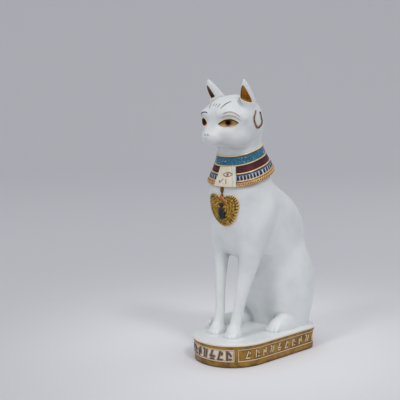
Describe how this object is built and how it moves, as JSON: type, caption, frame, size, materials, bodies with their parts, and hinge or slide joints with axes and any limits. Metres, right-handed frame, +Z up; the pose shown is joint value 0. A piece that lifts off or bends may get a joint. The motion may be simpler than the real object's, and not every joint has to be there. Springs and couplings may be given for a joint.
{
  "type": "seated cat figure",
  "caption": "Seated cat figure with a broad collar, heart pendant and earrings, cast in one piece with an oval plinth, standing on its flat underside.",
  "frame": {"origin": "middle of the plinth's underside", "axes": "+Z up, -Y the way the cat looks, +X the cat's left side"},
  "size_m": [0.058, 0.0966, 0.1995],
  "materials": {
    "white_paint": "cool white satin paint on cast resin, with faint grey in the creases",
    "gold_paint": "bright gold paint with a metallic sheen, worn to copper on the edges",
    "antique_gold_paint": "brown-washed antique gold paint",
    "cream_paint": "cream-gold line paint",
    "turquoise_paint": "mottled turquoise paint with pale specks",
    "burgundy_paint": "dark red satin paint",
    "navy_paint": "dark blue paint with pale dashes",
    "scarab_paint": "near-black green gloss paint",
    "eye_paint": "amber iris with a dark pupil and line, glossy",
    "bronze_line_paint": "dark bronze line paint"
  },
  "bodies": {
    "root": {"bastet_cat_casting": "white_paint"}
  },
  "joints": []
}
